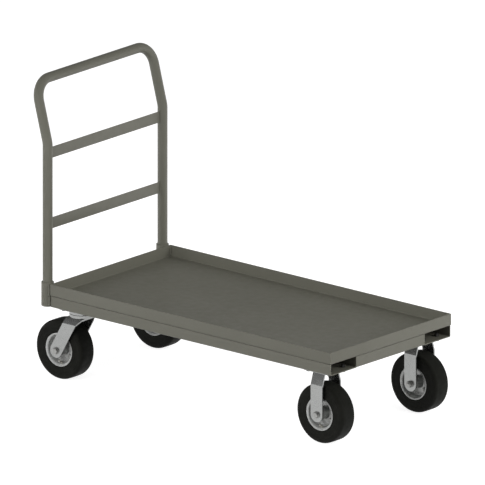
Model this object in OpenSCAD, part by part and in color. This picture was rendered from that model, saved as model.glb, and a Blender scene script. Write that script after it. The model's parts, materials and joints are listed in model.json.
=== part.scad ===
// Steel platform truck: a lipped sheet deck on formed channels, a tubular handle that lifts
// out of two sockets, two rigid casters at the leading end and two swivel casters at the
// handle end, all four on pneumatic wheels.
// Millimetres. +X points to the leading end, +Y to the left, +Z up. The origin lies on the
// floor, midway along and across the whole truck.

/* [Deck] */
// Length of the deck over its lips
deck_l = 1225.5; // [1000:0.5:1500]
// Width of the deck over its lips
deck_w = 609.6; // [560:0.1:760]
// Thickness of the deck sheet
deck_t = 3.1; // [2:0.1:5]
// Height of the lips above the deck's top face
lip_h = 38.1; // [20:0.1:60]

/* [Frame channels] */
// Height of the channels under the deck
channel_h = 38.1; // [30:0.1:60]
// Thickness of the channel steel
channel_t = 3; // [2:0.1:5]
// Width of each side channel
side_channel_w = 132.4; // [120:0.1:160]
// Width of each cross channel
cross_channel_w = 76.2; // [40:0.1:110]
// Distance from the deck's outer faces in to the frame
frame_inset = 2; // [0.5:0.5:6]

/* [Handle] */
// Outer diameter of the handle tube
tube_od = 33.4; // [25:0.1:40]
// Wall of the handle tube
tube_wall = 3.4; // [2:0.1:5]
// Distance from the deck's sides in to the axes of the two uprights
handle_inset = 14.65; // [0:0.05:65]
// Height of the knees above the deck's top face
knee_rise = 516.7; // [400:0.1:620]
// Angle by which the handle leans back above its knees
lean = 15; // [5:1:30]
// Length of the leaning stretch, from the knees to the axis of the top bar
lean_l = 208.4; // [150:0.1:300]
// Bend radius of the knees, at the tube's axis
knee_r = 60; // [40:1:100]
// Bend radius of the two top corners, at the tube's axis
corner_r = 66; // [45:1:100]
// Height of the flat crossbars
bar_h = 38.1; // [20:0.1:60]
// Thickness of the flat crossbars
bar_t = 3.2; // [2:0.1:6]
// Distance from the knees down to the upper crossbar's top edge
upper_bar_drop = 16.9; // [12:0.1:80]
// Height of the lower crossbar's middle above the deck's top face
lower_bar_rise = 237.7; // [120:0.1:320]

/* [Handle sockets] */
// Radial gap between the handle tube and its socket
socket_clear = 0.8; // [0.4:0.1:0.9]
// Wall of the sockets
socket_wall = 3.6; // [2:0.1:6]
// Gap that the welds bridge between the sockets and the rear lip
socket_standoff = 1.5; // [0.5:0.1:3]
// Height of the sockets above the top of the lips
socket_rise = 2.6; // [0:0.1:20]
// Angle at which each weld meets the socket, from the truck's long axis
weld_angle = 35; // [20:1:40]
// Thickness of the stop plates in the sockets' feet
stop_t = 3; // [2:0.1:6]
// Diameter of the drain hole in each stop plate
drain_d = 8; // [4:0.5:16]

/* [Casters] */
// Height from the top of the tyres to the top of the caster plates
caster_headroom = 50.8; // [46:0.1:70]
// Distance from the deck's front face back to the rigid casters' axles
rigid_inset = 79.5; // [60:0.5:200]
// Distance from the deck's rear face forward to the swivel casters' kingpins
swivel_inset = 78; // [60:0.5:200]
// Distance that the swivel wheels trail behind their kingpins
trail = 70; // [60:0.5:90]
// Length of the caster plates
plate_l = 114.3; // [110:0.1:130]
// Width of the caster plates
plate_w = 101.6; // [90:0.1:115]
// Thickness of the caster plates
plate_t = 6.4; // [5:0.1:8]
// Bolt spacing along the plates
plate_bolt_x = 92; // [88:0.5:94]
// Bolt spacing across the plates
plate_bolt_y = 67; // [62:0.5:70]
// Diameter of the mounting bolts
bolt_d = 9.5; // [8:0.1:10.5]
// Radial gap between the mounting bolts and their holes
bolt_clear = 0.4; // [0.2:0.1:0.8]

/* [Forks] */
// Thickness of the fork steel
fork_t = 5; // [3:0.1:7]
// Gap between each side of the tyre and the fork leg
fork_gap = 8.9; // [6:0.1:15]
// Width of the fork crowns across the wheel
crown_w = 68; // [60:0.1:80]
// Width of the rigid forks' legs
rigid_leg_w = 50.5; // [40:0.5:64]
// Width of the swivel forks' legs
swivel_leg_w = 49; // [40:0.5:60]

/* [Swivel heads] */
// Diameter of the race drum
race_od = 80; // [74:0.5:84]
// Height of the race drum
race_h = 24; // [20:0.1:26]
// Running gap between the two halves of the race
race_gap = 0.9; // [0.5:0.1:1.5]
// Diameter of the balls
ball_d = 7.9; // [6:0.1:9]
// Radius of the circle of ball centres
ball_ring_r = 31; // [28:0.5:33]
// Number of balls in each ring
ball_count = 20; // [12:1:22]
// Diameter of the kingpins
kingpin_d = 15.9; // [12:0.1:20]

/* [Axles] */
// Diameter of the axle bolts
axle_d = 12.7; // [10:0.1:14]
// Outer diameter of the axle spacers
spacer_od = 19; // [17:0.1:24]
// Running gap between turning parts and what they turn on
running_gap = 0.05; // [0.02:0.01:0.1]
// Gap between fixed parts that slide together at assembly
fit_gap = 0.1; // [0.05:0.01:0.2]

/* [Wheels] */
// Outer diameter of the tyres
wheel_d = 203.2; // [180:0.1:230]
// Width of the tyres
tyre_w = 68.2; // [60:0.1:80]
// Radius of the tyres' shoulders
shoulder_r = 11; // [6:0.5:16]
// Radius of the tyres' lower side walls
flank_r = 7; // [4:0.5:10]
// Thickness of the tyres under the tread
tread_t = 7; // [4:0.1:10]
// Thickness of the tyres' side walls
sidewall_t = 5.2; // [4:0.1:8]
// Wall of the inner tubes
inner_tube_t = 1.6; // [1:0.1:3]
// Diameter of the rims' bead seats
rim_d = 101.6; // [95:0.1:115]
// Height of the rim flanges above the bead seats
flange_h = 6.4; // [4:0.1:9]
// Width of the rims over their flanges
rim_w = 66; // [58:0.1:74]
// Thickness of the rim steel
rim_t = 2.5; // [1.5:0.1:3.5]
// Outer diameter of the hubs
hub_od = 40; // [36:0.5:46]
// Length of the hubs
hub_l = 76; // [66:0.5:82]
// Width of each ball bearing
bearing_w = 12; // [8:0.5:16]
// Radius of the circle of rim bolts
rim_bolt_r = 33; // [31:0.5:36]
// Diameter of the rim bolts
rim_bolt_d = 7.9; // [6:0.1:9]
// Diameter of the valve stems
valve_d = 8; // [6:0.1:10]
// Length of the valve stems
valve_l = 27; // [20:0.5:32]

/* [Hidden] */
$fn = 64;

// Finishes
paint = [0.42, 0.42, 0.39];
zinc = [0.72, 0.73, 0.74];
steel = [0.60, 0.61, 0.63];
brass = [0.74, 0.60, 0.32];
rubber = [0.09, 0.09, 0.09];

// How far a cutting shape runs past the face that it cuts
cut = 1;
left = 1;
right = -1;

// Levels above the floor
axle_z = wheel_d / 2;
frame_z = wheel_d + caster_headroom;
deck_z = frame_z + channel_h;
deck_top_z = deck_z + deck_t;
lip_top_z = deck_top_z + lip_h;
plate_under_z = frame_z - plate_t;

// Handle: its sockets are welded to the deck's corners, and its foot stands on the stop plate
handle_span = deck_w - 2 * handle_inset;
tube_r = tube_od / 2;
socket_bore_r = tube_r + socket_clear;
socket_r = socket_bore_r + socket_wall;
handle_foot_z = frame_z + stop_t;
knee_z = deck_top_z + knee_rise;
knee_tangent = knee_r * tan(lean / 2);
lean_straight = lean_l - knee_tangent - corner_r;
upper_bar_z = knee_z - upper_bar_drop - bar_h / 2;
lower_bar_z = deck_top_z + lower_bar_rise;
bend_thinning = 0.1;
bend_lap = 1;

// Places along the truck, counted from the middle of the deck
handle_deck_x = -deck_l / 2 - socket_standoff - socket_r;
rigid_deck_x = deck_l / 2 - rigid_inset;
kingpin_deck_x = -deck_l / 2 + swivel_inset;

// The truck's rearmost and foremost points set where its origin lies
rear_reach = min(handle_deck_x - lean_l * sin(lean) - tube_r,
                 kingpin_deck_x - trail - wheel_d / 2);
front_reach = max(deck_l / 2, rigid_deck_x + wheel_d / 2);
deck_x = -(rear_reach + front_reach) / 2;
handle_x = deck_x + handle_deck_x;
rigid_x = deck_x + rigid_deck_x;
kingpin_x = deck_x + kingpin_deck_x;
swivel_axle_x = kingpin_x - trail;

// Frame
frame_l = deck_l - 2 * frame_inset;
frame_w = deck_w - 2 * frame_inset;
caster_y = (frame_w - side_channel_w) / 2;
cross_channel_l = frame_w - 2 * side_channel_w;
cross_pitch = (frame_l - cross_channel_w) / 3;

// Mounting hardware
bolt_r = bolt_d / 2;
bolt_head_r = 0.87 * bolt_d;
bolt_head_h = 0.64 * bolt_d;
nut_h = 0.86 * bolt_d;
bolt_end = 3;

// Forks
leg_inner = tyre_w / 2 + fork_gap;
leg_outer = leg_inner + fork_t;
bend_z = wheel_d;
crown_top_z = plate_under_z - race_h;
rigid_crown_top_z = plate_under_z;
axle_r = axle_d / 2;
axle_head_r = 0.87 * axle_d;
axle_head_h = 0.62 * axle_d;
axle_nut_h = 0.85 * axle_d;
spacer_r = spacer_od / 2;

// Swivel heads
ball_r = ball_d / 2;
ball_z = (plate_under_z + crown_top_z) / 2;
kingpin_r = kingpin_d / 2;
kingpin_head_r = 1.45 * kingpin_r;
kingpin_head_h = plate_t / 2;
kingpin_washer_r = 1.9 * kingpin_r;
kingpin_washer_h = 2.5;
kingpin_nut_r = 1.7 * kingpin_r;
kingpin_nut_h = 0.5 * kingpin_d;
kingpin_end = 2;
crown_under_z = crown_top_z - fork_t;

// Wheels
tyre_r = wheel_d / 2;
rim_r = rim_d / 2;
flange_r = rim_r + flange_h;
bead_out = rim_w / 2 - rim_t - fit_gap;
bead_in = bead_out - sidewall_t - 1;
tyre_foot_r = rim_r + fit_gap;
cavity_r = tyre_r - tread_t;
cavity_half = tyre_w / 2 - sidewall_t;
cavity_corner = shoulder_r - 3;
hub_r = hub_od / 2;
bearing_r = hub_r - rim_t;
bearing_bore_r = spacer_r + running_gap;
rim_bolt_head_r = 0.9 * rim_bolt_d;
rim_bolt_head_h = 0.65 * rim_bolt_d;
rim_bolt_count = 4;
valve_r = valve_d / 2;
valve_tip_r = 0.7 * valve_r;
valve_tip_l = 3;
valve_tilt = 50;
valve_root_r = rim_r + fit_gap + inner_tube_t + 2;
valve_root_y = 10;

// ---------------------------------------------------------------- placing

// Moves a caster's own parts to the caster at x on one side of the truck
module at_caster(x, side) {
    translate([x, side * caster_y, 0]) children();
}

// Moves a wheel's own parts, whose outer side faces +Y, to a wheel of the truck
module at_wheel(x, side) {
    translate([x, side * caster_y, axle_z])
        if (side == left) children();
        else mirror([0, 1, 0]) children();
}

// Repeats its children at the four bolt places of a caster plate
module at_plate_bolts() {
    for (sx = [-1, 1], sy = [-1, 1])
        translate([sx * plate_bolt_x / 2, sy * plate_bolt_y / 2, 0]) children();
}

// Repeats its children at all four casters
module at_all_casters() {
    for (x = [rigid_x, kingpin_x], side = [left, right])
        at_caster(x, side) children();
}

// ---------------------------------------------------------------- deck and frame

module deck_tray() {
    color(paint)
        translate([deck_x, 0, deck_z])
            difference() {
                translate([-deck_l / 2, -deck_w / 2, 0])
                    cube([deck_l, deck_w, deck_t + lip_h]);
                translate([deck_t - deck_l / 2, deck_t - deck_w / 2, deck_t])
                    cube([deck_l - 2 * deck_t, deck_w - 2 * deck_t, lip_h + cut]);
            }
}

// Channel along X with its open side up, centred on the origin, standing on z = 0
module channel(length, width) {
    difference() {
        translate([-length / 2, -width / 2, 0])
            cube([length, width, channel_h]);
        translate([-length / 2 - cut, channel_t - width / 2, channel_t])
            cube([length + 2 * cut, width - 2 * channel_t, channel_h]);
    }
}

module side_channel(side) {
    color(paint)
        difference() {
            translate([deck_x, side * caster_y, frame_z])
                channel(frame_l, side_channel_w);
            for (x = [rigid_x, kingpin_x])
                at_caster(x, side)
                    at_plate_bolts()
                        translate([0, 0, frame_z - cut])
                            cylinder(r = bolt_r + bolt_clear, h = channel_t + 2 * cut);
        }
}

module left_side_channel() side_channel(left);
module right_side_channel() side_channel(right);

// Cross channels are counted from the rear end, 0 to 3
module cross_channel(number) {
    color(paint)
        translate([deck_x + (number - 1.5) * cross_pitch, 0, frame_z])
            rotate([0, 0, 90])
                channel(cross_channel_l, cross_channel_w);
}

module rear_cross_channel() cross_channel(0);
module rear_middle_cross_channel() cross_channel(1);
module front_middle_cross_channel() cross_channel(2);
module front_cross_channel() cross_channel(3);

// ---------------------------------------------------------------- handle sockets

// Outline of the weld metal between a socket at the origin and a face ahead of it
module weld_outline(face_x) {
    reach = socket_r * sin(weld_angle);
    for (m = [0, 1])
        mirror([0, m])
            polygon([[0, 0], [face_x, 0], [face_x, reach + socket_standoff],
                     [socket_r * cos(weld_angle), reach]]);
}

module handle_socket(side) {
    lip_face = socket_r + socket_standoff;
    socket_top_z = lip_top_z + socket_rise;
    color(paint)
        translate([handle_x, side * handle_span / 2, 0])
            difference() {
                union() {
                    translate([0, 0, frame_z])
                        cylinder(r = socket_r, h = socket_top_z - frame_z);
                    translate([0, 0, frame_z])
                        linear_extrude(height = channel_h)
                            weld_outline(lip_face + frame_inset);
                    translate([0, 0, deck_z])
                        linear_extrude(height = deck_t + lip_h)
                            weld_outline(lip_face);
                }
                translate([0, 0, frame_z - cut])
                    cylinder(r = socket_bore_r, h = socket_top_z - frame_z + 2 * cut);
            }
}

module left_handle_socket() handle_socket(left);
module right_handle_socket() handle_socket(right);

module socket_stop_plates() {
    color(paint)
        for (side = [left, right])
            translate([handle_x, side * handle_span / 2, frame_z])
                difference() {
                    cylinder(r = socket_bore_r - fit_gap, h = stop_t);
                    translate([0, 0, -cut])
                        cylinder(d = drain_d, h = stop_t + 2 * cut);
                }
}

// ---------------------------------------------------------------- handle

// One bend about the local Z axis, from +X round to an angle. It is a hair thinner than the
// straight tube and laps a little way into it at both ends.
module tube_bend(bend_r, r, angle) {
    rotate([0, 0, -bend_lap])
        rotate_extrude(angle = angle + 2 * bend_lap)
            translate([bend_r, 0]) circle(r = r - bend_thinning);
}

// The handle's solid route at a given radius, from its feet to its top bar
module handle_route(r, foot_drop) {
    for (m = [0, 1])
        mirror([0, m, 0])
            translate([handle_x, handle_span / 2, 0]) {
                translate([0, 0, handle_foot_z - foot_drop])
                    cylinder(r = r, h = knee_z - knee_tangent - handle_foot_z + foot_drop);
                translate([-knee_r, 0, knee_z - knee_tangent])
                    rotate([90, 0, 0])
                        tube_bend(knee_r, r, lean);
                translate([0, 0, knee_z])
                    rotate([0, -lean, 0])
                        translate([0, 0, knee_tangent]) {
                            cylinder(r = r, h = lean_straight);
                            translate([0, -corner_r, lean_straight])
                                rotate([90, 0, 90])
                                    tube_bend(corner_r, r, 90);
                        }
            }
    translate([handle_x - lean_l * sin(lean), 0, knee_z + lean_l * cos(lean)])
        rotate([90, 0, 0])
            cylinder(r = r, h = handle_span - 2 * corner_r, center = true);
}

module handle_tube() {
    color(paint)
        difference() {
            handle_route(tube_r, 0);
            handle_route(tube_r - tube_wall, cut);
        }
}

// Flat bar between the uprights, its ends coped round the tubes
module crossbar(z) {
    color(paint)
        difference() {
            translate([handle_x, 0, z])
                cube([bar_t, handle_span, bar_h], center = true);
            for (side = [left, right])
                translate([handle_x, side * handle_span / 2, z])
                    cylinder(r = tube_r, h = bar_h + 2 * cut, center = true);
        }
}

module upper_crossbar() crossbar(upper_bar_z);
module lower_crossbar() crossbar(lower_bar_z);

// ---------------------------------------------------------------- caster mounting

// Hexagonal nut standing on z = 0, bored to clear a thread
module hex_nut(thread_r, hex_r, h) {
    difference() {
        cylinder(r = hex_r, h = h, $fn = 6);
        translate([0, 0, -cut])
            cylinder(r = thread_r + fit_gap, h = h + 2 * cut);
    }
}

module caster_mount_bolts() {
    color(steel)
        at_all_casters()
            at_plate_bolts() {
                translate([0, 0, plate_under_z - bolt_head_h])
                    cylinder(r = bolt_head_r, h = bolt_head_h, $fn = 6);
                translate([0, 0, plate_under_z])
                    cylinder(r = bolt_r, h = plate_t + channel_t + nut_h + bolt_end);
            }
}

module caster_mount_nuts() {
    color(steel)
        at_all_casters()
            at_plate_bolts()
                translate([0, 0, frame_z + channel_t])
                    hex_nut(bolt_r, bolt_head_r, nut_h);
}

// Caster plate with its four bolt holes, centred on the caster's own axis
module bolted_plate() {
    difference() {
        translate([-plate_l / 2, -plate_w / 2, plate_under_z])
            cube([plate_l, plate_w, plate_t]);
        at_plate_bolts()
            translate([0, 0, plate_under_z - cut])
                cylinder(r = bolt_r + bolt_clear, h = plate_t + 2 * cut);
    }
}

// ---------------------------------------------------------------- forks

// Section of a fork across the wheel: a crown, two sloping cheeks and two upright legs
module fork_section(crown_z) {
    cheek = atan2(leg_outer - crown_w / 2, crown_z - bend_z);
    crown_in = crown_w / 2 - fork_t * tan((90 - cheek) / 2);
    bend_in_z = bend_z - fork_t * tan(cheek / 2);
    difference() {
        polygon([[-leg_outer, 0], [-leg_outer, bend_z], [-crown_w / 2, crown_z],
                 [crown_w / 2, crown_z], [leg_outer, bend_z], [leg_outer, 0]]);
        polygon([[-leg_inner, -cut], [-leg_inner, bend_in_z], [-crown_in, crown_z - fork_t],
                 [crown_in, crown_z - fork_t], [leg_inner, bend_in_z], [leg_inner, -cut]]);
    }
}

// Bent sheet of the section above, trimmed to the side outline given as a child
module fork_sheet(crown_z, half_length) {
    intersection() {
        translate([-half_length, 0, 0])
            rotate([90, 0, 90])
                linear_extrude(height = 2 * half_length)
                    fork_section(crown_z);
        translate([0, leg_outer + cut, 0])
            rotate([90, 0, 0])
                linear_extrude(height = 2 * (leg_outer + cut))
                    children();
    }
}

// Hole through both legs for the axle bolt
module axle_hole(x) {
    translate([x, 0, axle_z])
        rotate([90, 0, 0])
            cylinder(r = axle_r + fit_gap, h = 2 * (leg_outer + cut), center = true);
}

module rigid_fork() {
    half = rigid_leg_w / 2;
    color(zinc)
        difference() {
            fork_sheet(rigid_crown_top_z, half + cut)
                union() {
                    translate([0, axle_z]) circle(r = half);
                    translate([-half, axle_z])
                        square([rigid_leg_w, rigid_crown_top_z - axle_z]);
                }
            axle_hole(0);
        }
}

// Side outline of a swivel fork: crown under the race, then legs raked back to the axle
module swivel_fork_outline() {
    half = swivel_leg_w / 2;
    rake = atan2(trail - half / 2, bend_z - axle_z);
    knee_x = -half / 2;
    side_x = half / cos(rake);
    translate([-trail, axle_z]) circle(r = half);
    polygon([[-trail + half * cos(rake), axle_z - half * sin(rake)],
             [knee_x + side_x, bend_z],
             [race_od / 2 - fork_t, crown_top_z],
             [-race_od / 2 + fork_t, crown_top_z],
             [knee_x - side_x, bend_z],
             [-trail - half * cos(rake), axle_z + half * sin(rake)]]);
}

module swivel_fork() {
    color(zinc)
        difference() {
            union() {
                fork_sheet(crown_top_z, trail + swivel_leg_w)
                    swivel_fork_outline();
                translate([0, 0, crown_top_z - fork_t / 2])
                    cylinder(d = race_od, h = ball_z - race_gap / 2 - crown_top_z + fork_t / 2);
            }
            race_groove();
            translate([0, 0, crown_under_z - cut])
                cylinder(r = kingpin_r + running_gap, h = race_h + fork_t + cut);
            axle_hole(-trail);
        }
}

// Ring-shaped groove in which the balls run
module race_groove() {
    translate([0, 0, ball_z])
        rotate_extrude()
            translate([ball_ring_r, 0]) circle(r = ball_r + running_gap, $fn = 32);
}

// ---------------------------------------------------------------- swivel heads

module swivel_top_plate() {
    color(zinc)
        difference() {
            union() {
                bolted_plate();
                translate([0, 0, ball_z + race_gap / 2])
                    cylinder(d = race_od, h = plate_under_z - ball_z - race_gap / 2);
            }
            race_groove();
            translate([0, 0, ball_z - cut])
                cylinder(r = kingpin_r + fit_gap, h = race_h + plate_t);
            translate([0, 0, frame_z - kingpin_head_h])
                cylinder(r = kingpin_head_r + fit_gap, h = kingpin_head_h + cut);
        }
}

// Riveted head flush with the plate, washer and nut under the fork's crown
module kingpin() {
    washer_z = crown_under_z - running_gap - kingpin_washer_h;
    nut_z = washer_z - kingpin_nut_h;
    end_z = nut_z - kingpin_end;
    color(steel) {
        translate([0, 0, frame_z - kingpin_head_h])
            cylinder(r = kingpin_head_r, h = kingpin_head_h);
        translate([0, 0, end_z])
            cylinder(r = kingpin_r, h = frame_z - kingpin_head_h / 2 - end_z);
        translate([0, 0, washer_z])
            difference() {
                cylinder(r = kingpin_washer_r, h = kingpin_washer_h);
                translate([0, 0, -cut])
                    cylinder(r = kingpin_r + fit_gap, h = kingpin_washer_h + 2 * cut);
            }
        translate([0, 0, nut_z])
            hex_nut(kingpin_r, kingpin_nut_r, kingpin_nut_h - fit_gap);
    }
}

module race_balls() {
    color(steel)
        for (i = [0 : ball_count - 1])
            rotate([0, 0, i * 360 / ball_count])
                translate([ball_ring_r, 0, ball_z])
                    sphere(r = ball_r, $fn = 24);
}

// ---------------------------------------------------------------- axles

// Axle bolt through both legs, head on the wheel's outer side, nut on its inner side
module axle_bolt() {
    color(zinc)
        rotate([-90, 0, 0]) {
            translate([0, 0, -leg_outer - axle_nut_h - bolt_end])
                cylinder(r = axle_r, h = 2 * leg_outer + axle_nut_h + bolt_end);
            translate([0, 0, leg_outer])
                cylinder(r = axle_head_r, h = axle_head_h, $fn = 6);
            translate([0, 0, -leg_outer - axle_nut_h])
                hex_nut(axle_r, axle_head_r, axle_nut_h);
        }
}

module axle_spacer() {
    color(zinc)
        rotate([90, 0, 0])
            difference() {
                cylinder(r = spacer_r, h = 2 * leg_inner, center = true);
                cylinder(r = axle_r + fit_gap, h = 2 * (leg_inner + cut), center = true);
            }
}

// ---------------------------------------------------------------- wheels

// Section of a ring between two radii, with its own corner radius on each side.
// It is drawn with the radius along X and the width along Y.
module ring_section(r_in, r_out, half_w, corner_in, corner_out) {
    translate([r_in + corner_in, -half_w])
        square([r_out - r_in - corner_in - corner_out, 2 * half_w]);
    translate([r_in, corner_in - half_w])
        square([corner_in + cut, 2 * (half_w - corner_in)]);
    translate([r_out - corner_out - cut, corner_out - half_w])
        square([corner_out + cut, 2 * (half_w - corner_out)]);
    for (s = [-1, 1]) {
        translate([r_in + corner_in, s * (half_w - corner_in)]) circle(r = corner_in);
        translate([r_out - corner_out, s * (half_w - corner_out)]) circle(r = corner_out);
    }
}

// The hollow of the tyre down to the rim, smaller all round by a margin
module tyre_hollow(margin) {
    ring_section(flange_r + margin, cavity_r - margin, cavity_half - margin,
                 cavity_corner - margin, cavity_corner - margin);
    translate([tyre_foot_r + margin, -bead_in + margin])
        square([cavity_corner + flange_h, 2 * (bead_in - margin)]);
}

module tyre() {
    color(rubber)
        rotate([90, 0, 0])
            rotate_extrude()
                difference() {
                    union() {
                        ring_section(flange_r + fit_gap, tyre_r, tyre_w / 2, flank_r, shoulder_r);
                        translate([tyre_foot_r, -bead_out])
                            square([flange_h + flank_r, 2 * bead_out]);
                    }
                    tyre_hollow(0);
                    translate([tyre_foot_r - cut, -bead_in])
                        square([flange_h, 2 * bead_in]);
                }
}

module inner_tube() {
    color(rubber)
        difference() {
            rotate([90, 0, 0])
                rotate_extrude()
                    difference() {
                        tyre_hollow(fit_gap);
                        tyre_hollow(fit_gap + inner_tube_t);
                    }
            valve_stem(valve_r + fit_gap, 0);
        }
}

// Section of the rim half on the wheel's +Y side: hub, disc, bead seat and flange
module rim_half_section() {
    seam = fit_gap / 2;
    translate([bearing_r, seam]) square([rim_t, hub_l / 2 - seam]);
    translate([bearing_r, seam]) square([rim_r - bearing_r, rim_t - seam]);
    translate([rim_r - rim_t, seam]) square([rim_t, rim_w / 2 - seam]);
    translate([rim_r - rim_t, rim_w / 2 - rim_t]) square([flange_h + rim_t, rim_t]);
}

module rim_half() {
    difference() {
        rotate([-90, 0, 0])
            rotate_extrude() rim_half_section();
        at_rim_bolts()
            rotate([90, 0, 0])
                cylinder(r = rim_bolt_d / 2 + fit_gap, h = 2 * (rim_t + cut), center = true);
    }
}

// The outer half also lets the valve through its bead seat
module rim_halves() {
    color(zinc) {
        difference() {
            rim_half();
            valve_stem(valve_r + fit_gap, 0);
        }
        mirror([0, 1, 0]) rim_half();
    }
}

// Repeats its children at the rim bolts, which lie on both sides of the valve
module at_rim_bolts() {
    for (i = [0 : rim_bolt_count - 1])
        rotate([0, 45 + i * 360 / rim_bolt_count, 0])
            translate([0, 0, -rim_bolt_r]) children();
}

module rim_bolts() {
    color(zinc)
        at_rim_bolts()
            rotate([-90, 0, 0]) {
                translate([0, 0, -rim_t - rim_bolt_head_h - bolt_end])
                    cylinder(r = rim_bolt_d / 2, h = 2 * rim_t + rim_bolt_head_h + bolt_end);
                translate([0, 0, rim_t])
                    cylinder(r = rim_bolt_head_r, h = rim_bolt_head_h, $fn = 6);
                translate([0, 0, -rim_t - rim_bolt_head_h])
                    hex_nut(rim_bolt_d / 2, rim_bolt_head_r, rim_bolt_head_h);
            }
}

// Bearings press into the two ends of the hub and run on the spacer
module bearings() {
    color(steel)
        for (m = [0, 1])
            mirror([0, m, 0])
                translate([0, hub_l / 2 - bearing_w, 0])
                    rotate([-90, 0, 0])
                        difference() {
                            cylinder(r = bearing_r, h = bearing_w);
                            translate([0, 0, -cut])
                                cylinder(r = bearing_bore_r, h = bearing_w + 2 * cut);
                        }
}

// Valve stem from the tube, through the bead seat and out into the dish of the rim
module valve_stem(r, tip) {
    translate([0, valve_root_y, -valve_root_r])
        rotate([-valve_tilt, 0, 0])
            cylinder(r = r, h = valve_l + tip);
}

module valve() {
    color(brass) {
        valve_stem(valve_r, 0);
        valve_stem(valve_tip_r, valve_tip_l);
    }
}

// ---------------------------------------------------------------- nodes of each caster

module front_left_top_plate() at_caster(rigid_x, left) color(zinc) bolted_plate();
module front_left_fork() at_caster(rigid_x, left) rigid_fork();
module front_left_axle_bolt() at_wheel(rigid_x, left) axle_bolt();
module front_left_spacer() at_wheel(rigid_x, left) axle_spacer();
module front_right_top_plate() at_caster(rigid_x, right) color(zinc) bolted_plate();
module front_right_fork() at_caster(rigid_x, right) rigid_fork();
module front_right_axle_bolt() at_wheel(rigid_x, right) axle_bolt();
module front_right_spacer() at_wheel(rigid_x, right) axle_spacer();

module rear_left_top_plate() at_caster(kingpin_x, left) swivel_top_plate();
module rear_left_kingpin() at_caster(kingpin_x, left) kingpin();
module rear_left_race_balls() at_caster(kingpin_x, left) race_balls();
module rear_left_fork() at_caster(kingpin_x, left) swivel_fork();
module rear_left_axle_bolt() at_wheel(swivel_axle_x, left) axle_bolt();
module rear_left_spacer() at_wheel(swivel_axle_x, left) axle_spacer();
module rear_right_top_plate() at_caster(kingpin_x, right) swivel_top_plate();
module rear_right_kingpin() at_caster(kingpin_x, right) kingpin();
module rear_right_race_balls() at_caster(kingpin_x, right) race_balls();
module rear_right_fork() at_caster(kingpin_x, right) swivel_fork();
module rear_right_axle_bolt() at_wheel(swivel_axle_x, right) axle_bolt();
module rear_right_spacer() at_wheel(swivel_axle_x, right) axle_spacer();

module front_left_tyre() at_wheel(rigid_x, left) tyre();
module front_left_inner_tube() at_wheel(rigid_x, left) inner_tube();
module front_left_rim_halves() at_wheel(rigid_x, left) rim_halves();
module front_left_bearings() at_wheel(rigid_x, left) bearings();
module front_left_rim_bolts() at_wheel(rigid_x, left) rim_bolts();
module front_left_valve() at_wheel(rigid_x, left) valve();
module front_right_tyre() at_wheel(rigid_x, right) tyre();
module front_right_inner_tube() at_wheel(rigid_x, right) inner_tube();
module front_right_rim_halves() at_wheel(rigid_x, right) rim_halves();
module front_right_bearings() at_wheel(rigid_x, right) bearings();
module front_right_rim_bolts() at_wheel(rigid_x, right) rim_bolts();
module front_right_valve() at_wheel(rigid_x, right) valve();
module rear_left_tyre() at_wheel(swivel_axle_x, left) tyre();
module rear_left_inner_tube() at_wheel(swivel_axle_x, left) inner_tube();
module rear_left_rim_halves() at_wheel(swivel_axle_x, left) rim_halves();
module rear_left_bearings() at_wheel(swivel_axle_x, left) bearings();
module rear_left_rim_bolts() at_wheel(swivel_axle_x, left) rim_bolts();
module rear_left_valve() at_wheel(swivel_axle_x, left) valve();
module rear_right_tyre() at_wheel(swivel_axle_x, right) tyre();
module rear_right_inner_tube() at_wheel(swivel_axle_x, right) inner_tube();
module rear_right_rim_halves() at_wheel(swivel_axle_x, right) rim_halves();
module rear_right_bearings() at_wheel(swivel_axle_x, right) bearings();
module rear_right_rim_bolts() at_wheel(swivel_axle_x, right) rim_bolts();
module rear_right_valve() at_wheel(swivel_axle_x, right) valve();

// ---------------------------------------------------------------- drawing

deck_tray();
left_side_channel();
right_side_channel();
front_cross_channel();
front_middle_cross_channel();
rear_middle_cross_channel();
rear_cross_channel();
left_handle_socket();
right_handle_socket();
socket_stop_plates();
caster_mount_bolts();
caster_mount_nuts();
handle_tube();
upper_crossbar();
lower_crossbar();
front_left_top_plate();
front_left_fork();
front_left_axle_bolt();
front_left_spacer();
front_right_top_plate();
front_right_fork();
front_right_axle_bolt();
front_right_spacer();
rear_left_top_plate();
rear_left_kingpin();
rear_left_race_balls();
rear_left_fork();
rear_left_axle_bolt();
rear_left_spacer();
rear_right_top_plate();
rear_right_kingpin();
rear_right_race_balls();
rear_right_fork();
rear_right_axle_bolt();
rear_right_spacer();
front_left_tyre();
front_left_inner_tube();
front_left_rim_halves();
front_left_bearings();
front_left_rim_bolts();
front_left_valve();
front_right_tyre();
front_right_inner_tube();
front_right_rim_halves();
front_right_bearings();
front_right_rim_bolts();
front_right_valve();
rear_left_tyre();
rear_left_inner_tube();
rear_left_rim_halves();
rear_left_bearings();
rear_left_rim_bolts();
rear_left_valve();
rear_right_tyre();
rear_right_inner_tube();
rear_right_rim_halves();
rear_right_bearings();
rear_right_rim_bolts();
rear_right_valve();
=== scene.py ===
"""Visual model of a steel platform truck with a lift-out handle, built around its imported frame.

Every piece is meshed in metres in the frame's own axes: +X points to the leading end, +Y to the
left, +Z up, with the floor at zero. Places come from the boxes of the frame's nodes, so a piece
lies where its node does. Each sub-assembly is a class that holds its own sizes and builds and
dresses its pieces, and each finish is a frozen dataclass that says how its material is mixed.
"""

import json
import logging
import math
from abc import ABC, abstractmethod
from collections.abc import Iterable, Sequence
from dataclasses import dataclass
from enum import Enum

import bmesh
import bpy
from mathutils import Matrix, Vector

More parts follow.
